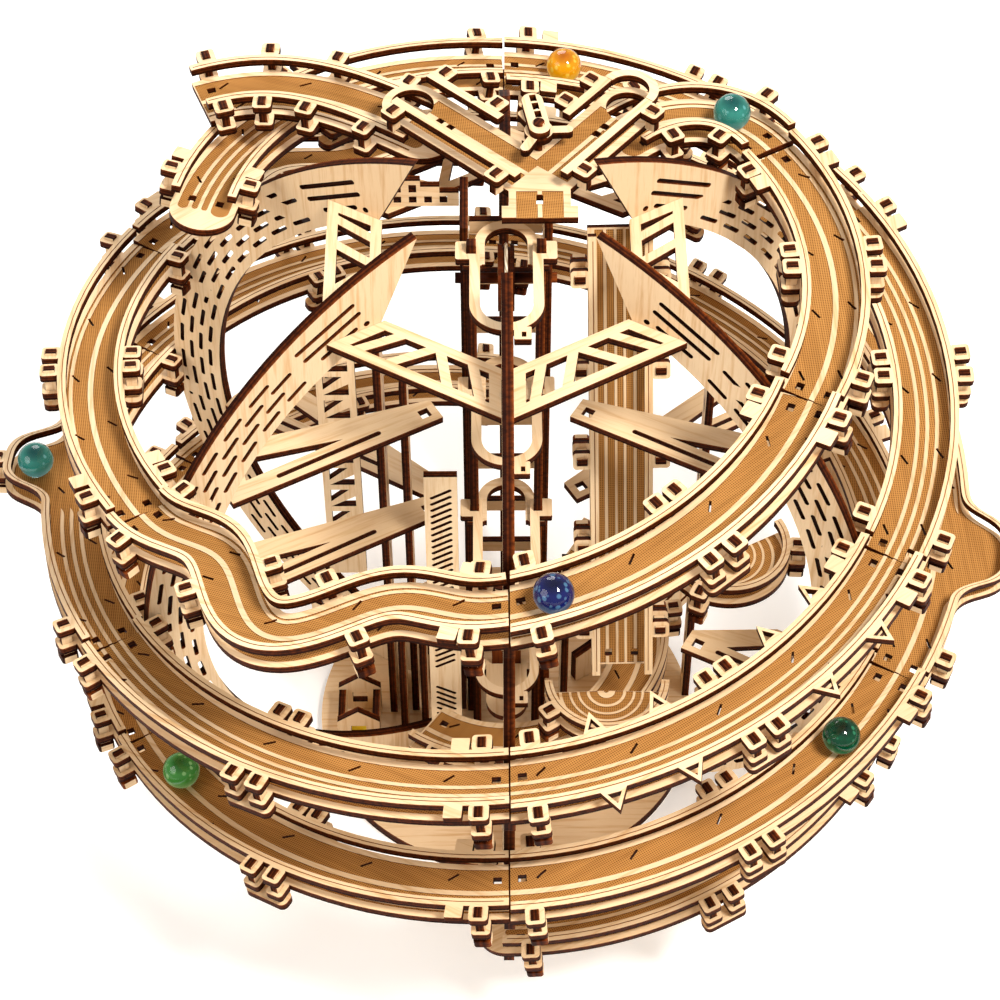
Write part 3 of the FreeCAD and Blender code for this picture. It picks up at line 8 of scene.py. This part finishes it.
import bmesh
import bpy
import numpy as np
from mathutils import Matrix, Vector


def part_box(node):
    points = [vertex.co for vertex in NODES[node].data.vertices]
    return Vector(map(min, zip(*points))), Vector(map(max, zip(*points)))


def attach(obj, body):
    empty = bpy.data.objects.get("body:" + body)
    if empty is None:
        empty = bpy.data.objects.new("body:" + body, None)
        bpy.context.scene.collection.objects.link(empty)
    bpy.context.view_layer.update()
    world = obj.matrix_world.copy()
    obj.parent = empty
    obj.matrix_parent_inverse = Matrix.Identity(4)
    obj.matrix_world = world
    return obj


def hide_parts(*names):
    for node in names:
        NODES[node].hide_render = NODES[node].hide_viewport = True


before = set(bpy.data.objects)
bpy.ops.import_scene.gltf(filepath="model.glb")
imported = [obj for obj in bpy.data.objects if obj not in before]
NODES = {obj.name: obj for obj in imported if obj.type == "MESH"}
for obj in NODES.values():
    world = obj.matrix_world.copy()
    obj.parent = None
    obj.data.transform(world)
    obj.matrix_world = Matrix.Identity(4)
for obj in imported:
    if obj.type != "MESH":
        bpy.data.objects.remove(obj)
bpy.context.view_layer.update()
MM = 0.001
WELD_GRID = 1e6  # grid cells per metre when points are welded
THINNEST = 1e-6

GLOBE_CENTRE = Vector((0.0, 0.0, 0.150))
GLOBE_RADIUS = 0.168


# ---------------------------------------------------------------- colour and node helpers

WHITE = (1.0, 1.0, 1.0, 1.0)
BLACK = (0.0, 0.0, 0.0, 1.0)


def linear(red, green, blue):
    """Linear colour from 0-255 display values, by the standard sRGB curve."""
    toe, toe_slope, offset, gamma = 0.04045, 12.92, 0.055, 2.4
    out = []
    for value in (red, green, blue):
        v = value / 255.0
        out.append(v / toe_slope if v <= toe else ((v + offset) / (1 + offset)) ** gamma)
    return (*out, 1.0)


class Tree:
    """A short way to write a material's node tree."""

    MIX_FACTOR, MIX_FIRST, MIX_SECOND, MIX_RESULT = 0, 6, 7, 2

    def __init__(self, name):
        self.material = bpy.data.materials.new(name)
        self.material.use_nodes = True
        self.nodes = self.material.node_tree.nodes
        self.links = self.material.node_tree.links
        self.shader = self.nodes["Principled BSDF"]

    def add(self, kind, inputs=None, **settings):
        made = self.nodes.new(kind)
        for key, value in settings.items():
            setattr(made, key, value)
        for key, value in (inputs or {}).items():
            self.plug(made.inputs[key], value)
        return made

    def plug(self, socket, value):
        if isinstance(value, bpy.types.NodeSocket):
            self.links.new(value, socket)
        elif isinstance(value, bpy.types.Node):
            self.links.new(value.outputs[0], socket)
        else:
            socket.default_value = value

    def math(self, operation, first, second=0.0):
        made = self.add("ShaderNodeMath", {0: first, 1: second}, operation=operation)
        return made.outputs[0]

    def times(self, first, second):
        return self.math("MULTIPLY", first, second)

    def wave(self, value):
        """A sine of `value`, moved to 0..1."""
        return self.times(self.math("ADD", self.math("SINE", value), 1.0), 0.5)

    def ramp(self, factor, stops):
        made = self.add("ShaderNodeValToRGB", {0: factor})
        while len(made.color_ramp.elements) < len(stops):
            made.color_ramp.elements.new(0.5)
        for element, (place, colour) in zip(made.color_ramp.elements, stops):
            element.position = place
            element.color = colour
        return made.outputs[0]

    def mix(self, factor, first, second, blend="MIX"):
        made = self.add("ShaderNodeMix", data_type="RGBA", blend_type=blend)
        self.plug(made.inputs[self.MIX_FACTOR], factor)
        self.plug(made.inputs[self.MIX_FIRST], first)
        self.plug(made.inputs[self.MIX_SECOND], second)
        return made.outputs[self.MIX_RESULT]

    def tinted(self, body, tone):
        """`body` multiplied by a darker or lighter tone."""
        return self.mix(1.0, body, tone, "MULTIPLY")

    def noise(self, vector, scale, detail, rough=0.6):
        made = self.add("ShaderNodeTexNoise", {"Vector": vector, "Scale": scale,
                                               "Detail": detail, "Roughness": rough})
        return made.outputs["Fac"]

    def stretched(self, along, across, third, along_scale, across_scale):
        """Texture coordinates of a sheet with each direction at its own scale."""
        return self.add("ShaderNodeCombineXYZ", {0: self.times(along, along_scale),
                                                 1: self.times(across, across_scale),
                                                 2: third})

    def object_place(self):
        return self.add("ShaderNodeTexCoord").outputs["Object"]

    def surface(self, **inputs):
        for key, value in inputs.items():
            self.plug(self.shader.inputs[key.replace("_", " ")], value)
        return self.material


# ---------------------------------------------------------------- plywood materials

FACE_LIGHT = linear(228, 199, 160)
FACE_DARK = linear(208, 168, 121)
FACE_STREAK = linear(178, 126, 74)
EDGE_TOAST = linear(118, 58, 20)
EDGE_BROWN = linear(80, 34, 8)
EDGE_BURNT = linear(38, 11, 2)
HATCH_LIGHT = linear(178, 128, 70)
HATCH_DARK = linear(78, 40, 8)
GROOVE_LIGHT = linear(176, 118, 66)
GROOVE_DARK = linear(128, 78, 40)
# the darker cord tone is painted shade in the grooves between the twisted strands
CORD_GROOVE_SHADE = linear(150, 132, 104)
CORD_LIGHT = linear(232, 220, 196)
GLOW_DEEP = linear(214, 160, 10)
GLOW_BRIGHT = linear(250, 214, 60)

# tones that a colour is multiplied by
DARKEST_SHEET = (0.86, 0.82, 0.76, 1)
SOOT_DARK = (0.45, 0.42, 0.40, 1)
SOOT_LIGHT = (1.35, 1.3, 1.25, 1)
HATCH_SHADE = (0.80, 0.74, 0.66, 1)
HATCH_GLEAM = (1.12, 1.10, 1.06, 1)

# texture scales along and across the grain, per millimetre
BROAD_GRAIN = (0.03, 0.55)
FINE_GRAIN = (0.12, 2.6)
SOOT_GRAIN = (0.9, 0.9)
SOOT_DEPTH = 2.0

SHEET_SHIFT = 400.0  # how far apart two sheets of different tint lie in the texture
STREAK_SHARE = 0.22
HATCH_PITCH_MM = 0.80
CORD_WAVES = 3200.0  # radians of the strand pattern per metre
CORD_SLANT = 1.6
WINDOW_GLOW = 0.25


def sheet_coordinates(tree):
    """In-sheet millimetres along and across the grain, depth 0..1, and the sheet's tint."""
    place = tree.add("ShaderNodeAttribute", attribute_name="sheet").outputs["Vector"]
    split = tree.add("ShaderNodeSeparateXYZ", {0: place})
    tint = tree.add("ShaderNodeAttribute", attribute_name="tint").outputs["Fac"]
    return split.outputs[0], split.outputs[1], split.outputs[2], tint


def broad_grain(tree, along, across, tint):
    """Slow light and dark bands of birch veneer, different on each sheet."""
    shift = tree.times(tint, SHEET_SHIFT)
    return tree.noise(tree.stretched(along, across, shift, *BROAD_GRAIN), 1.0, 4.0, 0.55)


def fine_grain(tree, along, across, tint):
    """Thin fibres of birch veneer, different on each sheet."""
    shift = tree.times(tint, SHEET_SHIFT)
    return tree.noise(tree.stretched(along, across, shift, *FINE_GRAIN), 1.0, 2.0, 0.7)


def ply_face_material():
    tree = Tree("birch_face")
    along, across, _, tint = sheet_coordinates(tree)
    body = tree.ramp(broad_grain(tree, along, across, tint),
                     [(0.30, FACE_DARK), (0.50, FACE_LIGHT), (0.72, FACE_LIGHT),
                      (0.86, FACE_DARK)])
    streak = tree.ramp(fine_grain(tree, along, across, tint), [(0.55, BLACK), (0.75, WHITE)])
    body = tree.mix(tree.times(streak, STREAK_SHARE), body, FACE_STREAK)
    shade = tree.ramp(tint, [(0.0, DARKEST_SHEET), (1.0, WHITE)])
    return tree.surface(Base_Color=tree.tinted(body, shade), Roughness=0.56,
                        Specular_IOR_Level=0.20)


def ply_edge_material():
    """Cut edge of the sheet: burnt layers with sooty patches, lighter near the top face."""
    tree = Tree("burnt_edge")
    along, across, depth, _ = sheet_coordinates(tree)
    layers = tree.ramp(depth, [(0.0, EDGE_BURNT), (0.30, EDGE_BURNT), (0.42, EDGE_BROWN),
                               (0.60, EDGE_BURNT), (0.80, EDGE_BROWN), (1.0, EDGE_TOAST)])
    flow = tree.stretched(along, across, tree.times(depth, SOOT_DEPTH), *SOOT_GRAIN)
    patch = tree.ramp(tree.noise(flow, 0.7, 4.0, 0.65), [(0.35, SOOT_DARK), (0.65, SOOT_LIGHT)])
    return tree.surface(Base_Color=tree.tinted(layers, patch), Roughness=0.62,
                        Specular_IOR_Level=0.05)


def engraved_material():
    """Laser hatching: fine lines along and across the deck that read as dots."""
    tree = Tree("laser_hatch")
    along, across, _, tint = sheet_coordinates(tree)
    per_mm = 2 * math.pi / HATCH_PITCH_MM
    down, over = (tree.wave(tree.times(value, per_mm)) for value in (along, across))
    dots = tree.times(tree.math("POWER", down, 0.7), over)
    body = tree.mix(dots, HATCH_LIGHT, HATCH_DARK)
    warm = tree.ramp(broad_grain(tree, along, across, tint),
                     [(0.25, HATCH_SHADE), (0.75, HATCH_GLEAM)])
    return tree.surface(Base_Color=tree.tinted(body, warm), Roughness=0.78,
                        Specular_IOR_Level=0.08)


def groove_material():
    """Thin line engraved along the middle of a rail."""
    tree = Tree("laser_line")
    along, across, _, tint = sheet_coordinates(tree)
    body = tree.mix(fine_grain(tree, along, across, tint), GROOVE_LIGHT, GROOVE_DARK)
    return tree.surface(Base_Color=body, Roughness=0.75, Specular_IOR_Level=0.08)


def cord_material():
    tree = Tree("twisted_cord")
    split = tree.add("ShaderNodeSeparateXYZ", {0: tree.object_place()})
    slant = tree.math("ADD", split.outputs[2], tree.times(split.outputs[0], CORD_SLANT))
    # slanted stripes: the darker half is painted shade in the grooves between the twisted strands
    strand = tree.wave(tree.times(slant, CORD_WAVES))
    return tree.surface(Base_Color=tree.mix(strand, CORD_GROOVE_SHADE, CORD_LIGHT), Roughness=0.85)


def window_material():
    tree = Tree("lit_window")
    soft = tree.noise(tree.object_place(), 300.0, 2.0)
    glow = tree.ramp(soft, [(0.3, GLOW_DEEP), (0.7, GLOW_BRIGHT)])
    return tree.surface(Base_Color=glow, Roughness=0.35, Emission_Color=glow,
                        Emission_Strength=WINDOW_GLOW)


# ---------------------------------------------------------------- sheets of each CAD node

def mesh_arrays(mesh):
    """Points, then normal, area, first corner and corner count of each polygon, and the
    point of each corner."""
    points = np.zeros(len(mesh.vertices) * 3)
    mesh.vertices.foreach_get("co", points)
    points = points.reshape(-1, 3)
    count = len(mesh.polygons)
    normals, areas = np.zeros(count * 3), np.zeros(count)
    mesh.polygons.foreach_get("normal", normals)
    mesh.polygons.foreach_get("area", areas)
    starts, totals = np.zeros(count, int), np.zeros(count, int)
    mesh.polygons.foreach_get("loop_start", starts)
    mesh.polygons.foreach_get("loop_total", totals)
    corners = np.zeros(len(mesh.loops), int)
    mesh.loops.foreach_get("vertex_index", corners)
    return points, normals.reshape(-1, 3), areas, starts, totals, corners


def connected(points, starts, totals, corners):
    """Number of the solid that each welded point, and so each polygon, belongs to."""
    keys = np.round(points * WELD_GRID).astype(np.int64)
    _, weld = np.unique(keys, axis=0, return_inverse=True)
    weld = weld.reshape(-1)
    owner = np.repeat(np.arange(len(starts)), totals)
    labels = np.arange(weld.max() + 1)
    corner_points = weld[corners]
    while True:
        lowest = np.full(len(starts), labels.max() + 1)
        np.minimum.at(lowest, owner, labels[corner_points])
        fresh = labels.copy()
        np.minimum.at(fresh, corner_points, lowest[owner])
        fresh = fresh[fresh]
        if np.array_equal(fresh, labels):
            break
        labels = fresh
    _, groups = np.unique(labels, return_inverse=True)
    point_group = groups.reshape(-1)[weld]
    return point_group, point_group[corners[starts]]


FACE, EDGE, HATCH, LINE = range(4)
# parts of several sheets whose largest flat sides don't show which way the sheets lie
LYING = ("flip_switch", "lift_car")
CLEAR_LEAN = 0.3  # a sheet normal that rises less than this counts as level
LEVEL_COSINE = 0.985
FACE_COSINE = 0.97
RECESS_MARGIN = 0.15 * MM
AXIS_SAMPLES = 400


def sheet_normal(node, normals, areas, mine):
    """Direction across a sheet, towards its upper side, from its largest faces."""
    spread = (normals[mine] * areas[mine][:, None]).T @ normals[mine]
    _, vectors = np.linalg.eigh(spread)
    up = np.array([0.0, 0.0, 1.0]) if node in LYING else vectors[:, 2]
    lead = up[np.argmax(np.abs(up) > 0.5)] if abs(up[2]) < CLEAR_LEAN else up[2]
    up = up if lead > 0 else -up
    level_faces = mine & (normals @ up > LEVEL_COSINE)
    if level_faces.any():
        up = (normals[level_faces] * areas[level_faces][:, None]).sum(axis=0)
        up = up / np.linalg.norm(up)
    return up


def dress_sheets(node, materials, recess, hatched):
    """Sorts a node's polygons into sheet faces, burnt edges and engraved recesses.

    `recess` is true where the node has engraving, and `hatched` says whether that is a
    hatched band or a plain line. The mesh's points stay as they are."""
    mesh = NODES[node].data
    points, normals, areas, starts, totals, corners = mesh_arrays(mesh)
    point_group, polygon_group = connected(points, starts, totals, corners)
    kinds = np.full(len(starts), EDGE)
    sheet = np.zeros((len(points), 3))
    tint = np.zeros(len(points))
    first_corner = points[corners[starts]]
    rng = np.random.default_rng(sum(map(ord, node)))
    for group in range(point_group.max() + 1):
        mine = polygon_group == group
        own = point_group == group
        up = sheet_normal(node, normals, areas, mine)
        depth = points[own] @ up
        low, high = depth.min(), depth.max()
        thick = max(high - low, THINNEST)
        middle = points[own].mean(axis=0)
        flat = points[own] - middle
        flat = flat - np.outer(flat @ up, up)
        every = max(1, len(flat) // AXIS_SAMPLES)
        _, _, axes = np.linalg.svd(flat[::every], full_matrices=False)
        along = axes[0]
        across = np.cross(up, along)
        sheet[own, 0] = flat @ along / MM
        sheet[own, 1] = flat @ across / MM
        sheet[own, 2] = (depth - low) / thick
        tint[own] = rng.random()
        facing = normals[mine] @ up
        level = first_corner[mine] @ up
        kind = np.where(np.abs(facing) > FACE_COSINE, FACE, EDGE)
        if recess:
            sunk = (level < high - RECESS_MARGIN) & (level > low + RECESS_MARGIN)
            kind[(kind == FACE) & sunk] = HATCH if hatched else LINE
        kinds[mine] = kind
    for name, values, kind_name in (("sheet", sheet, "FLOAT_VECTOR"), ("tint", tint, "FLOAT")):
        layer = mesh.attributes.new(name, kind_name, "POINT")
        layer.data.foreach_set("vector" if kind_name == "FLOAT_VECTOR" else "value",
                               values.reshape(-1).astype(np.float32))
    mesh.materials.clear()
    for material in materials:
        mesh.materials.append(material)
    mesh.polygons.foreach_set("material_index", kinds.astype(np.int32))
    mesh.update()


def dress_whole(holder, material):
    holder.data.materials.clear()
    holder.data.materials.append(material)


def dress_all():
    plywood = [ply_face_material(), ply_edge_material(), engraved_material(),
               groove_material()]
    cord, window = cord_material(), window_material()
    for node, holder in NODES.items():
        if node.startswith("marble_"):
            continue
        if node == "lift_cord":
            dress_whole(holder, cord)
        elif node == "house_window":
            dress_whole(holder, window)
        else:
            hatched = "deck" in node or node == "ramp_board"
            dress_sheets(node, plywood, hatched or "rails" in node, hatched)


# ---------------------------------------------------------------- marbles

TEAL = (linear(78, 168, 156), linear(160, 226, 232), linear(24, 94, 94))

# body of each marble, its bright tone (painted light on the lower half, and its flakes), its dark
# tone (painted shade on the top), and the share of its inner flakes that glint
GLASS = {
    "marble_amber": (linear(246, 190, 14), linear(255, 236, 112), linear(182, 112, 6), 0.40),
    "marble_teal_left": (*TEAL, 0.10),
    "marble_teal_top": (*TEAL, 0.10),
    "marble_blue": (linear(34, 46, 128), linear(126, 190, 216), linear(10, 14, 62), 0.45),
    "marble_light_green": (linear(96, 172, 84), linear(196, 232, 166), linear(40, 104, 36), 0.30),
    "marble_dark_green": (linear(2, 104, 70), linear(70, 190, 136), linear(2, 46, 34), 0.25),
}
HEART_SHARE = 0.66
TINT_SHARE = 0.7
FLAKE_SCALE = 520.0
FLAKE_BRIGHTNESS = 0.9
HEART_GLOW = 0.22
GLASS_INDEX = 1.47
SHELL_RINGS = 5
HEART_RINGS = 4


def glass_shell_material(name, tone):
    tree = Tree(f"{name}_glass")
    tint = [TINT_SHARE * part + 1 - TINT_SHARE for part in tone[:3]] + [1.0]
    return tree.surface(Base_Color=tint, Roughness=0.02, IOR=GLASS_INDEX,
                        Transmission_Weight=1.0)


def heart_material(name, radius, body, light, dark, flakes):
    """Coloured heart of the marble: painted shade on its crown, painted light on its belly, and
    glinting flakes.
    """
    tree = Tree(f"{name}_heart")
    place = tree.object_place()
    height = tree.add("ShaderNodeSeparateXYZ", {0: place}).outputs[2]
    share = tree.math("ADD", tree.times(height, 0.5 / radius), 0.5)
    # painted shade and light: the heart is darker towards the top and brighter towards the bottom
    depth = tree.ramp(share, [(0.10, light), (0.45, body), (0.80, body), (1.0, dark)])
    cells = tree.add("ShaderNodeTexVoronoi", {"Vector": place, "Scale": FLAKE_SCALE})
    spot = tree.ramp(cells.outputs["Distance"], [(0.30, WHITE), (0.46, BLACK)])
    pick = tree.add("ShaderNodeSeparateColor", {0: cells.outputs["Color"]}).outputs[0]
    chosen = tree.ramp(pick, [(0.96 - flakes, BLACK), (1.0 - flakes, WHITE)])
    glint = tree.times(tree.times(spot, chosen), FLAKE_BRIGHTNESS)
    colour = tree.mix(glint, depth, light)
    return tree.surface(Base_Color=colour, Roughness=0.35, Specular_IOR_Level=0.1,
                        Emission_Color=colour, Emission_Strength=HEART_GLOW)


def ball(name, centre, radius, rings):
    mesh = bpy.data.meshes.new(name)
    shape = bmesh.new()
    bmesh.ops.create_icosphere(shape, subdivisions=rings, radius=radius)
    for face in shape.faces:
        face.smooth = True
    shape.to_mesh(mesh)
    shape.free()
    made = bpy.data.objects.new(name, mesh)
    bpy.context.scene.collection.objects.link(made)
    made.location = centre
    return made


def build_marbles():
    for node, (body, light, dark, flakes) in GLASS.items():
        low, high = (Vector(corner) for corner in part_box(node))
        centre = (low + high) / 2
        radius = (high.z - low.z) / 2
        shell = ball(f"{node}_shell", centre, radius, SHELL_RINGS)
        shell.data.materials.append(glass_shell_material(node, body))
        inner = radius * HEART_SHARE
        heart = ball(f"{node}_heart", centre, inner, HEART_RINGS)
        heart.data.materials.append(heart_material(node, inner, body, light, dark, flakes))
        for piece in (shell, heart):
            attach(piece, node)
        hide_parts(node)


# ---------------------------------------------------------------- studio

FLOOR_SIDE = 12.0
FLOOR_LEVEL = -0.0006
FLOOR_GLOW = 0.30
FLOOR_DIM = (0.90, 0.90, 0.89, 1)
FLOOR_PALE = (0.93, 0.93, 0.92, 1)
WORLD_COLOUR = (1.0, 0.99, 0.97, 1)
WORLD_STRENGTH = 0.50

# name, place, diameter, watts and colour of each lamp
LAMPS = (
    ("key", (0.55, -0.55, 1.45), 0.40, 31.5, (1.0, 0.97, 0.93)),
    ("fill", (-1.0, -0.55, 0.8), 0.9, 7.0, (1.0, 0.98, 0.96)),
    ("back", (-0.2, 1.1, 1.0), 0.8, 9.0, (1.0, 1.0, 1.0)),
)


def build_floor():
    bpy.ops.mesh.primitive_plane_add(size=FLOOR_SIDE, location=(0, 0, FLOOR_LEVEL))
    floor = bpy.context.object
    floor.name = "studio_floor"
    tree = Tree("pale_floor")
    soft = tree.noise(tree.object_place(), 3.0, 2.0)
    tone = tree.ramp(soft, [(0.3, FLOOR_DIM), (0.7, FLOOR_PALE)])
    floor.data.materials.append(tree.surface(Base_Color=tone, Roughness=0.9,
                                             Emission_Color=tone,
                                             Emission_Strength=FLOOR_GLOW))


def area_light(name, place, size, power, colour):
    """A round lamp aimed at the middle of the globe."""
    lamp = bpy.data.lights.new(name, "AREA")
    lamp.shape = "DISK"
    lamp.size = size
    lamp.energy = power
    lamp.color = colour
    holder = bpy.data.objects.new(name, lamp)
    bpy.context.scene.collection.objects.link(holder)
    holder.location = place
    aim = (GLOBE_CENTRE - Vector(place)).to_track_quat("-Z", "Y")
    holder.rotation_euler = aim.to_euler()


def build_lights():
    world = bpy.data.worlds.new("studio_world")
    world.use_nodes = True
    background = world.node_tree.nodes["Background"]
    background.inputs["Color"].default_value = WORLD_COLOUR
    background.inputs["Strength"].default_value = WORLD_STRENGTH
    bpy.context.scene.world = world
    for name, place, size, power, colour in LAMPS:
        area_light(name, place, size, power, colour)


CAMERA_FROM_CENTRE = Vector((-0.0304, -4.0628, 4.7161)) * GLOBE_RADIUS
CAMERA_LOOK = Vector((0.0049, 0.6527, -0.7576))
SENSOR_WIDTH_MM = 36.0
LENS_MM = 95.82
LENS_SHIFT = (-0.0062, -0.0083)
NEAREST = 0.05


def build_camera():
    camera = bpy.data.cameras.new("camera")
    camera.sensor_width = SENSOR_WIDTH_MM
    camera.lens = LENS_MM
    camera.shift_x, camera.shift_y = LENS_SHIFT
    camera.clip_start = NEAREST
    holder = bpy.data.objects.new("camera", camera)
    bpy.context.scene.collection.objects.link(holder)
    holder.location = GLOBE_CENTRE + CAMERA_FROM_CENTRE
    holder.rotation_euler = CAMERA_LOOK.to_track_quat("-Z", "Y").to_euler()
    bpy.context.scene.camera = holder


dress_all()
build_marbles()
build_floor()
build_lights()
build_camera()
bpy.context.scene.view_settings.view_transform = "Standard"
